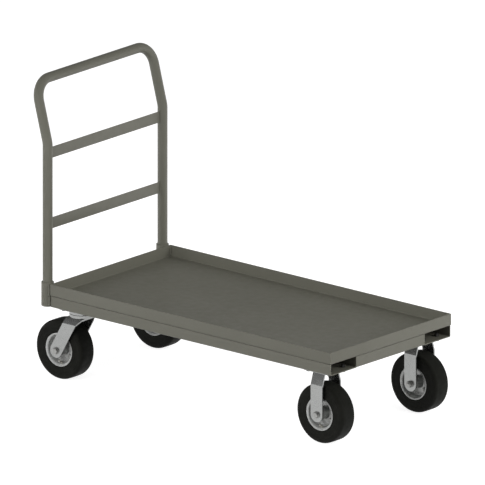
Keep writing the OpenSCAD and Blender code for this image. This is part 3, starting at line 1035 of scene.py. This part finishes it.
@dataclass
class MountingHardware(SubAssembly):
    """The bolts that hold the caster plates, with their nuts inside the side channels."""

    bolt_r: float = 4.75 * MM
    spacing_x: float = 92 * MM
    spacing_y: float = 67 * MM
    hex_share: float = 1.74
    head_share: float = 1.28
    nut_share: float = 1.72
    steel: float = 3.0 * MM

    def build(self) -> None:
        """Builds every bolt and nut of the four plates."""
        bolts, nuts = Shell(), Shell()
        hex_r, head = self.bolt_r * self.hex_share, self.bolt_r * self.head_share
        nut = self.bolt_r * self.nut_share
        for caster in STATIONS:
            low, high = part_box(f"{caster.name}_top_plate")
            plate_low = high.z - PLATE_T
            for sx in (-1, 1):
                for sy in (-1, 1):
                    x = (low.x + high.x) / 2 + sx * self.spacing_x / 2
                    y = (low.y + high.y) / 2 + sy * self.spacing_y / 2
                    nut_z = high.z + self.steel
                    flipped = shift(x, y, plate_low) @ FLIP
                    bolts.hexagon(hex_r, head, flipped, both=False)
                    length = nut_z - plate_low + nut + STUD_END
                    bolts.stud(self.bolt_r, 0, length, THREAD, shift(x, y, plate_low))
                    nuts.hexagon(hex_r, nut, shift(x, y, nut_z), self.bolt_r + THREAD_CLEAR)
        # These bolts and nuts are coloured nearly black as painted shade inside the side channels.
        self.shop.hang(bolts, "caster_mount_bolt_set", SHADE_BLACKED_FASTENER, "caster_mount_bolts")
        self.shop.hang(nuts, "caster_mount_nut_set", SHADE_BLACKED_FASTENER, "caster_mount_nuts")


@dataclass(frozen=True)
class Station:
    """One of the truck's four wheel places."""

    end: End
    side: Side

    @property
    def name(self) -> str:
        """The place's name, as the nodes' names start."""
        return f"{self.end.value}_{self.side.name.lower()}"

    @property
    def axle(self) -> Vector:
        """The middle of the wheel, on its axle."""
        low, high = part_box(f"{self.name}_tyre")
        return (low + high) / 2


STATIONS = tuple(Station(end, side) for end in End for side in Side)


@dataclass
class Caster(SubAssembly):
    """What both kinds of caster share: a formed fork, its axle bolt and its plate."""

    station: Station
    fork_t: float = 5 * MM
    crown_w: float = 68 * MM
    bend: float = 2.5 * MM
    plate_corner: float = 7 * MM
    axle_r: float = 6.35 * MM
    hex_share: float = 1.74
    head_share: float = 1.24
    nut_share: float = 1.7
    washer_r: float = 12.5 * MM
    washer_t: float = 1.6 * MM
    leg_half: float = 25.25 * MM
    leg_steps: int = 6
    race_h: float = 0.0

    @property
    def leg_outer(self) -> float:
        """How far the legs' outer faces lie from the middle of the wheel."""
        return Box.of(f"{self.station.name}_fork").size.y / 2

    def place(self) -> Matrix:
        """Moves a caster's shapes to the axis of its fork, at floor level."""
        low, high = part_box(f"{self.station.name}_top_plate")
        return shift((low.x + high.x) / 2, (low.y + high.y) / 2, 0)

    def plate_under(self) -> float:
        """How high the underside of the plate lies."""
        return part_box(f"{self.station.name}_top_plate")[1].z - PLATE_T

    def crown_top(self) -> float:
        """How high the top of the fork's crown lies."""
        return self.plate_under() - self.race_h

    def edges_at(self, level: float) -> tuple[float, float]:
        """The fork's rear and front edge at a level.

        Args:
            level: The height above the floor.

        Returns:
            Where the edges lie along the truck, from the fork's axis.
        """
        drop = self.station.axle.z - level
        half = math.sqrt(max(0.0, self.leg_half**2 - max(0.0, drop) ** 2))
        return -half, half

    def fork(self) -> Shell:
        """Bends the fork from one strip, from foot to foot over the wheel.

        Returns:
            The fork's shell.
        """
        crown_z, axle_z = self.crown_top(), self.station.axle.z
        mid = self.fork_t / 2
        leg_y, wheel_top = self.leg_outer - mid, 2 * axle_z
        crown_y = self.crown_w / 2 - mid * 0.7
        bend = self.bend + mid
        upper = [
            (leg_y, axle_z, 0),
            (leg_y, wheel_top, bend),
            (crown_y, crown_z - mid, bend),
            (-crown_y, crown_z - mid, bend),
            (-leg_y, wheel_top, bend),
            (-leg_y, axle_z, 0),
        ]
        foot = [
            Vector((leg_y, axle_z - self.leg_half * math.cos(k * math.pi / 24))) for k in range(12)
        ]
        over = rounded(upper, closed=False, steps=7)
        step = (over[1].y - axle_z) / self.leg_steps
        legs = [Vector((leg_y, axle_z + step * k)) for k in range(self.leg_steps)]
        route = foot + legs + over[1:-1] + [Vector((-p.x, p.y)) for p in reversed(foot + legs)]
        rings = []
        for point, ahead in zip(route, headings(route)):
            normal = Vector((ahead.y, -ahead.x)) * mid
            rear, front = self.edges_at(point.y)
            rings.append(
                [
                    Vector((x, point.x + sign * normal.x, point.y + sign * normal.y))
                    for x, sign in ((rear, 1), (front, 1), (front, -1), (rear, -1))
                ]
            )
        return Shell().skin(rings, self.place())

    def plate(self) -> Shell:
        """The bolted plate with its rounded corners.

        Returns:
            The plate's shell.
        """
        name = f"{self.station.name}_top_plate"
        low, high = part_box(name)
        outline = rounded(
            rectangle((high.x - low.x) / 2, (high.y - low.y) / 2, self.plate_corner), steps=6
        )
        return Shell().extrude(outline, self.plate_under(), high.z, self.place())

    def axle_bolt(self) -> None:
        """Builds the axle bolt with its washers and its nut."""
        name = f"{self.station.name}_axle_bolt"
        side, centre = self.station.side, self.station.axle
        place = shift(*centre) @ facing(side)
        hex_r = self.axle_r * self.hex_share
        head, nut = self.axle_r * self.head_share, self.axle_r * self.nut_share
        outer = self.leg_outer
        washer = [
            (self.axle_r, 0, 0),
            (self.washer_r, 0, 0.3 * MM),
            (self.washer_r, self.washer_t, 0.5 * MM),
            (self.axle_r, self.washer_t, 0),
        ]
        ring = rounded(washer, steps=3)
        shell = Shell()
        shell.lathe(ring, place @ shift(0, 0, outer), 48)
        shell.lathe(ring, place @ shift(0, 0, -outer - self.washer_t), 48)
        head_place = place @ shift(0, 0, outer + self.washer_t)
        shell.hexagon(hex_r, head - self.washer_t, head_place, both=False)
        nut_place = place @ shift(0, 0, -outer - self.washer_t) @ FLIP
        shell.hexagon(hex_r, nut - self.washer_t, nut_place, self.axle_r + THREAD_CLEAR)
        shell.stud(self.axle_r, -outer, outer + nut + STUD_END, THREAD, place @ FLIP)
        self.shop.hang(shell, f"{name}_set", FASTENER, name)

    def build(self) -> None:
        """Builds the caster."""
        name = self.station.name
        self.shop.hang(self.plate(), f"{name}_plate", ZINC, f"{name}_top_plate", edge=0.7 * MM)
        self.shop.hang(self.fork(), f"{name}_fork_formed", ZINC, f"{name}_fork", edge=0.7 * MM)
        self.axle_bolt()
        self.shop.keep(f"{name}_spacer", ZINC)


@dataclass
class RigidCaster(Caster):
    """A fixed caster: its fork's crown is welded to the plate."""

    weld: float = 2.6 * MM

    def build(self) -> None:
        """Builds the caster and the welds along its crown."""
        super().build()
        name, middle = self.station.name, self.place().translation
        shell, reach = Shell(), self.crown_w / 2 - 2 * self.weld
        level = self.plate_under() - 0.35 * self.weld
        for x in (middle.x - self.leg_half, middle.x + self.leg_half):
            start, end = ((x, middle.y + turn * reach, level) for turn in (-1, 1))
            shell.seam(start, end, self.weld)
        self.shop.hang(shell, f"{name}_crown_welds", ZINC, f"{name}_fork", stands_for=False)


@dataclass
class SwivelCaster(Caster):
    """A turning caster: a raked fork under a ball race, held by a kingpin."""

    trail: float = 70 * MM
    race_r: float = 40 * MM
    race_h: float = 24 * MM
    leg_half: float = 24.5 * MM
    leg_steps: int = 14
    race_gap: float = 0.9 * MM
    race_edge: float = 3.2 * MM
    ball_ring_r: float = 31 * MM
    ball_r: float = 3.95 * MM
    pin_r: float = 7.95 * MM
    washer_big_r: float = 15.1 * MM
    washer_big_t: float = 2.5 * MM

    def edges_at(self, level: float) -> tuple[float, float]:
        """The raked fork's rear and front edge at a level.

        Args:
            level: The height above the floor.

        Returns:
            Where the edges lie along the truck, from the kingpin.
        """
        axle_z, half = self.station.axle.z, self.leg_half
        wheel_top, crown_half = 2 * axle_z, self.race_r - self.fork_t
        rake = math.atan2(self.trail - half / 2, wheel_top - axle_z)
        wide = half / math.cos(rake)
        if level >= wheel_top:
            share = min(1.0, (level - wheel_top) / (self.crown_top() - wheel_top))
            low_rear, low_front = -half / 2 - wide, -half / 2 + wide
            return (
                low_rear + share * (-crown_half - low_rear),
                low_front + share * (crown_half - low_front),
            )
        slope = -self.trail + (level - axle_z) * math.tan(rake)
        bow = math.sqrt(max(0.0, half**2 - (level - axle_z) ** 2))
        rear = slope - wide if level > axle_z + half * math.sin(rake) else -self.trail - bow
        front = slope + wide if level > axle_z - half * math.sin(rake) else -self.trail + bow
        return rear, front

    def race(self, low: float, high: float, groove_at: float) -> Outline:
        """The section of one half of the race, with its half of the balls' groove.

        Args:
            low: Where the half starts.
            high: Where it ends.
            groove_at: The level of the ball centres, next to one of its faces.

        Returns:
            The section's outline, a radius and a height at each point.
        """
        upper = groove_at < (low + high) / 2
        inner, outer, ring = self.pin_r, self.race_r, self.ball_ring_r
        face, back = (low, high) if upper else (high, low)
        radius = self.ball_r + 0.05 * MM
        bow = math.sqrt(radius**2 - (face - groove_at) ** 2)
        start = math.asin(abs(face - groove_at) / radius)
        sign = 1 if upper else -1
        groove = []
        for k in range(11):
            angle = start + (math.pi - 2 * start) * k / 10
            rise = sign * radius * math.sin(angle)
            groove.append((ring - radius * math.cos(angle), groove_at + rise, 0))
        corners = [
            (inner, back, 0), (inner, face, 0), (ring - bow - 0.3 * MM, face, 0), *groove,
            (ring + bow + 0.3 * MM, face, 0), (outer, face, 0.8 * MM),
            (outer, back, self.race_edge),
        ]
        return rounded(corners, steps=5)

    def build(self) -> None:
        """Builds the caster with its race and its kingpin."""
        name = self.station.name
        low, high = self.crown_top(), self.plate_under()
        ball_z = (low + high) / 2
        axis = self.place()
        plate = self.plate()
        plate.lathe(self.race(ball_z + self.race_gap / 2, high + 0.2 * MM, ball_z), axis, 96)
        fork = self.fork()
        fork.lathe(self.race(low - 0.2 * MM, ball_z - self.race_gap / 2, ball_z), axis, 96)
        self.shop.hang(plate, f"{name}_plate", ZINC, f"{name}_top_plate", edge=0.5 * MM)
        self.shop.hang(fork, f"{name}_fork_formed", ZINC, f"{name}_fork", edge=0.5 * MM)
        self.axle_bolt()
        self.kingpin()
        self.shop.keep(f"{name}_spacer", ZINC)
        self.shop.keep(f"{name}_race_balls", STEEL)

    def kingpin(self) -> None:
        """Builds the kingpin, its washer and its nut."""
        node = f"{self.station.name}_kingpin"
        low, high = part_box(node)
        axis = self.place()
        under = self.crown_top() - self.fork_t - 0.05 * MM
        nut_h, hex_r = self.pin_r, 1.7 * self.pin_r
        shell = Shell()
        head = [(0, high.z - 3.2 * MM, 0), (1.45 * self.pin_r, high.z - 3.2 * MM, 0),
                (1.45 * self.pin_r, high.z, 0.8 * MM), (0, high.z, 0)]
        shell.lathe(rounded(head), axis, 48)
        shell.stud(self.pin_r, -(high.z - 2 * MM), -low.z, THREAD, axis @ FLIP)
        washer = [
            (self.pin_r + THREAD_CLEAR, under - self.washer_big_t, 0),
            (self.washer_big_r, under - self.washer_big_t, 0.5 * MM),
            (self.washer_big_r, under, 0.5 * MM),
            (self.pin_r + THREAD_CLEAR, under, 0),
        ]
        shell.lathe(rounded(washer, steps=3), axis, 48)
        nut_z = under - self.washer_big_t - nut_h
        shell.hexagon(hex_r, nut_h, axis @ shift(0, 0, nut_z), self.pin_r + THREAD_CLEAR)
        self.shop.hang(shell, f"{node}_set", STEEL, node)


# ---------------------------------------------------------------- wheels


@dataclass
class Wheel(SubAssembly):
    """A pneumatic wheel: smooth tyre, two pressed rim halves, bearings, bolts and valve."""

    station: Station
    rim_r: float = 50.8 * MM
    flange: float = 6.4 * MM
    flange_bend: float = 8 * MM
    rim_half: float = 33 * MM
    rim_t: float = 2.5 * MM
    seam: float = 0.05 * MM
    hub_r: float = 20 * MM
    hub_half: float = 38 * MM
    bearing_w: float = 12 * MM
    bearing_bore: float = 9.55 * MM
    bolt_ring_r: float = 33 * MM
    bolt_r: float = 3.95 * MM
    bolt_thread: float = 5.6 * MM
    bolt_count: int = 4
    shoulder_r: float = 11 * MM
    flank_r: float = 3.0 * MM
    relief: float = 0.4 * MM
    rib_half: float = 1.1 * MM
    rib_radii: tuple[float, ...] = (69 * MM, 85.5 * MM)
    tread: float = 7 * MM
    side_wall: float = 5.2 * MM
    bead_out: float = 30.4 * MM
    bead_in: float = 24.2 * MM
    crown: float = 0.6 * MM
    valve_r: float = 4 * MM
    valve_l: float = 27 * MM
    valve_tilt: float = math.radians(50)
    valve_y: float = 10 * MM
    valve_seat: float = 3.7 * MM
    cap_l: float = 8 * MM

    def place(self) -> Matrix:
        """Moves a wheel's shapes, whose own Z points outward, to its axle."""
        return shift(*self.station.axle) @ facing(self.station.side)

    def tyre(self) -> Shell:
        """Moulds the tyre, with its thin ribs and its hollow.

        Returns:
            The tyre's shell.
        """
        low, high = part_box(f"{self.station.name}_tyre")
        radius, half = (high.z - low.z) / 2, (high.y - low.y) / 2
        foot, flange_r = self.rim_r + 0.1 * MM, self.rim_r + self.flange + 0.1 * MM
        cheek = half - self.relief
        hollow_r, hollow_half = radius - self.tread, half - self.side_wall
        side = [
            (foot, self.bead_in, 0.6 * MM),
            (foot, self.bead_out, self.flange_bend / 2 + 0.1 * MM),
            (flange_r, self.bead_out, 0.2 * MM),
            (flange_r, cheek, self.flank_r),
        ]
        for rib in self.rib_radii:
            for off, out in ((-1.6, cheek), (-1, half), (1, half), (1.6, cheek)):
                side.append((rib + off * self.rib_half, out, 0.25 * MM))
        side.append((radius - self.crown, cheek, self.shoulder_r))
        hollow = [
            (hollow_r, hollow_half, 8 * MM),
            (flange_r + 1.5 * MM, hollow_half, 4 * MM),
            (flange_r + 1.5 * MM, self.bead_in, 1.2 * MM),
        ]
        outline = side + [(radius, 0, 250 * MM)] + [(a, -b, r) for a, b, r in reversed(side)]
        outline += [(a, -b, r) for a, b, r in reversed(hollow)] + hollow
        return Shell().lathe(rounded(outline, steps=7), self.place(), 144)

    def rim(self) -> Shell:
        """Presses the two rim halves, each with its hub, web, bead seat and flange.

        Returns:
            The shell of both halves.
        """
        inner = self.rim_r - self.rim_t
        bore, seam, t = self.hub_r - self.rim_t, self.seam, self.rim_t
        step, raised = 1.3 * MM, 2.0 * MM
        half = [
            (bore, seam, 0),
            (bore, self.hub_half, 0.5 * MM),
            (self.hub_r, self.hub_half, 0.9 * MM),
            (self.hub_r, t, 3.5 * MM),
            (inner - 8 * MM, t, 1.5 * MM),
            (inner - 8 * MM + raised, t + step, 1.5 * MM),
            (inner, t + step, 3.5 * MM),
            (inner, self.rim_half, self.flange_bend),
            (self.rim_r + self.flange, self.rim_half, 0.8 * MM),
            (self.rim_r + self.flange, self.rim_half - t, 1.0 * MM),
            (self.rim_r, self.rim_half - t, self.flange_bend / 2),
            (self.rim_r, seam, 0),
        ]
        outline = rounded(half, steps=5)
        shell = Shell().lathe(outline, self.place(), 128)
        other = self.place() @ FLIP
        return shell.lathe(outline, other, 128)

    def bearings(self) -> Shell:
        """Turns the two sealed bearings in the ends of the hub.

        Returns:
            The shell of both bearings.
        """
        outer, bore = self.hub_r - self.rim_t, self.bearing_bore
        depth, race = 0.9 * MM, 2.4 * MM
        top = self.hub_half
        face = [
            (bore, top - self.bearing_w, 0),
            (bore, top, 0.4 * MM),
            (bore + race, top, 0.3 * MM),
            (bore + race, top - depth, 0.2 * MM),
            (outer - race, top - depth, 0.2 * MM),
            (outer - race, top, 0.3 * MM),
            (outer, top, 0.4 * MM),
            (outer, top - self.bearing_w, 0),
        ]
        shell = Shell()
        for turn in (0, math.pi):
            place = self.place() @ Matrix.Rotation(turn, 4, "X")
            shell.lathe(rounded(face, steps=3), place, 72)
        return shell

    def rim_bolts(self) -> Shell:
        """Places the bolts that clamp the rim halves, on both sides of the valve.

        Returns:
            The shell of the bolts and their nuts.
        """
        shell = Shell()
        hex_r, head = 1.8 * self.bolt_r, 1.3 * self.bolt_r
        for k in range(self.bolt_count):
            turn = math.pi / self.bolt_count + math.tau * k / self.bolt_count
            spoke = self.place() @ Matrix.Rotation(turn, 4, "Z") @ shift(self.bolt_ring_r, 0, 0)
            shell.hexagon(hex_r, head, spoke @ shift(0, 0, self.rim_t), both=False)
            nut_place = spoke @ shift(0, 0, -self.rim_t) @ FLIP
            shell.hexagon(hex_r, head, nut_place, self.bolt_r + THREAD_CLEAR)
            length = self.rim_t + head + STUD_END
            shell.stud(self.bolt_r, -self.rim_t, length, self.bolt_thread, spoke @ FLIP)
        return shell

    def valve(self) -> Shell:
        """Turns the valve stem with its collar, thread and cap.

        Returns:
            The valve's shell.
        """
        outward, tip_r = self.station.side.value, 0.7 * self.valve_r
        seat = Vector((0, outward * self.valve_y, -self.rim_r - self.valve_seat))
        root = self.station.axle + seat
        tilt = Matrix.Rotation(-outward * self.valve_tilt, 4, "X")
        shoulder, cap_r = self.valve_l - self.cap_l, 0.95 * self.valve_r
        stem = [
            (0, 0, 0),
            (self.valve_r, 0, 0.4 * MM),
            (self.valve_r, shoulder - self.valve_r, 0.8 * MM),
            (tip_r, shoulder - 0.75 * self.valve_r, 0.3 * MM),
            (tip_r, shoulder, 0),
            (cap_r, shoulder, 0.4 * MM),
            (cap_r, self.valve_l + 1.5 * MM, 1.1 * MM),
            (0, self.valve_l + 2.6 * MM, 0),
        ]
        return Shell().lathe(rounded(stem, steps=3), shift(*root) @ tilt, 32)

    def build(self) -> None:
        """Builds the wheel."""
        name = self.station.name
        self.shop.hang(self.tyre(), f"{name}_tyre_moulded", TYRE, f"{name}_tyre")
        self.shop.hang(self.rim(), f"{name}_rim_pressed", RIM_ZINC, f"{name}_rim_halves")
        self.shop.hang(self.bearings(), f"{name}_bearing_pair", STEEL, f"{name}_bearings")
        self.shop.hang(self.rim_bolts(), f"{name}_rim_bolt_set", FASTENER, f"{name}_rim_bolts")
        self.shop.hang(self.valve(), f"{name}_valve_turned", BRASS, f"{name}_valve")
        self.shop.keep(f"{name}_inner_tube", TUBE)


# ---------------------------------------------------------------- studio


@dataclass(frozen=True)
class Softbox:
    """A large square lamp aimed at the truck, which no surface mirrors."""

    name: str
    azimuth: float
    elevation: float
    power: float
    size: float = 2.4
    distance: float = 4.5

    def hang(self, target: Vector) -> None:
        """Hangs the lamp.

        Args:
            target: The point that it is aimed at.
        """
        lamp = bpy.data.lights.new(self.name, "AREA")
        lamp.energy = self.power
        lamp.size = self.size
        piece = placed(self.name, lamp)
        azimuth, elevation = math.radians(self.azimuth), math.radians(self.elevation)
        away = polar(math.cos(elevation), azimuth, math.sin(elevation))
        piece.location = target + away * self.distance
        piece.rotation_euler = away.to_track_quat("Z", "Y").to_euler()
        piece.visible_glossy = False


@dataclass
class Studio:
    """The pale floor, the plain light and the camera."""

    azimuth: float = math.radians(40.84)
    elevation: float = math.radians(16.55)
    view: float = 1.602
    right: float = 0.0003
    up: float = 0.4995
    distance: float = 5.0
    floor_reach: float = 40.0
    backdrop_top: float = 5.0
    backdrop_foot: float = -12.0
    ambient: float = 0.26
    lamps: tuple[Softbox, ...] = (
        Softbox("front_lamp", 14, 20, 138),
        Softbox("right_lamp", -92, 17, 118),
        Softbox("rear_lamp", 196, 11, 58),
        Softbox("left_lamp", 76, 11, 50),
    )

    def build(self) -> None:
        """Builds the studio."""
        self.camera()
        self.floor()
        self.backdrop()
        self.world()
        for lamp in self.lamps:
            lamp.hang(Vector((0, 0, 0.45)))

    def camera(self) -> None:
        """Sets up the parallel view."""
        a, e = self.azimuth, self.elevation
        right = Vector((math.cos(a), math.sin(a), 0))
        up = Vector((-math.sin(a) * math.sin(e), math.cos(a) * math.sin(e), math.cos(e)))
        back = right.cross(up)
        lens = bpy.data.cameras.new("camera")
        lens.type = "ORTHO"
        lens.ortho_scale = self.view
        lens.clip_end = 100
        camera = placed("camera", lens)
        place = right * self.right + up * self.up + back * self.distance
        turn = Matrix((right, up, back)).transposed().to_4x4()
        camera.matrix_world = Matrix.Translation(place) @ turn
        bpy.context.scene.camera = camera

    def floor(self) -> None:
        """Lays the pale floor, which shows white with the truck's soft shadow on it."""
        reach = self.floor_reach
        corners = [(x * reach, y * reach, 0) for x, y in ((-1, -1), (1, -1), (1, 1), (-1, 1))]
        mesh = bpy.data.meshes.new("floor")
        mesh.from_pydata(corners, [], [(0, 1, 2, 3)])
        floor = placed("floor", mesh)
        floor.data.materials.append(self.stage_finish("floor", 0.86, 0.50, 0.12))

    def backdrop(self) -> None:
        """Stands a far white ring round the horizon, which level and low views look at."""
        inner, outer = self.floor_reach - 1, self.floor_reach - 0.9
        top, foot = self.backdrop_top, self.backdrop_foot
        wall = [(inner, foot), (outer, foot), (outer, top), (inner, top)]
        ring = Shell().lathe([Vector(p) for p in wall], Matrix.Identity(4)).make("backdrop")
        ring.data.materials.append(self.stage_finish("backdrop", 1.0, 0.0, None))

    @staticmethod
    def stage_finish(name: str, glow: float, pale: float, dull: float | None) -> bpy.types.Material:
        """Mixes a finish that is white where it is seen or mirrored, and a duller source of light.

        Args:
            name: The name of what it is for.
            glow: How brightly it shows by itself where it is seen.
            pale: How pale it is there under the lamps.
            dull: How pale it is for every other ray, or None to let those rays through.

        Returns:
            The material.
        """
        material = bpy.data.materials.new(f"studio_{name}")
        nodes = Nodes(material)
        nodes.tree.nodes.remove(nodes.tree.nodes["Principled BSDF"])
        rays = nodes.add("LightPath").outputs
        seen = rays["Is Camera Ray"]
        for kind in ("Is Glossy Ray", "Is Transmission Ray"):
            larger = nodes.add("Math", Value=seen, Value_001=rays[kind])
            larger.operation = "MAXIMUM"
            seen = larger.outputs[0]
        lit = nodes.add("BsdfDiffuse", Color=(pale, pale, pale)).outputs[0]
        shown = nodes.add("Emission", Strength=glow).outputs[0]
        both = nodes.add("AddShader", Shader=lit, Shader_001=shown).outputs[0]
        if dull is None:
            other = nodes.add("BsdfTransparent").outputs[0]
        else:
            other = nodes.add("BsdfDiffuse", Color=(dull, dull, dull)).outputs[0]
        mix = nodes.add("MixShader", Fac=seen, Shader=other, Shader_001=both)
        nodes.feed(nodes.tree.nodes["Material Output"], Surface=mix.outputs[0])
        return material

    def world(self) -> None:
        """Sets the plain grey surround that lights the truck from all round."""
        world = bpy.data.worlds.new("studio")
        bpy.context.scene.world = world
        nodes = Nodes(world)
        nodes.feed(nodes.tree.nodes["Background"], Color=(1, 1, 1), Strength=self.ambient)


# ---------------------------------------------------------------- the truck


def main() -> None:
    """Builds the studio and the truck."""
    logging.basicConfig(level=logging.INFO, format="%(name)s: %(message)s")
    bpy.context.scene.view_settings.view_transform = "Standard"
    Studio().build()
    shop = Workshop()
    for kind in (Deck, FrameChannels, HandleSockets, Handle, MountingHardware):
        kind(shop).build()
        log.info("%s is built", kind.__name__)
    for station in STATIONS:
        kind = RigidCaster if station.end is End.FRONT else SwivelCaster
        kind(shop, station).build()
        Wheel(shop, station).build()
        log.info("%s caster is built", station.name)


if __name__ == "__main__":
    main()
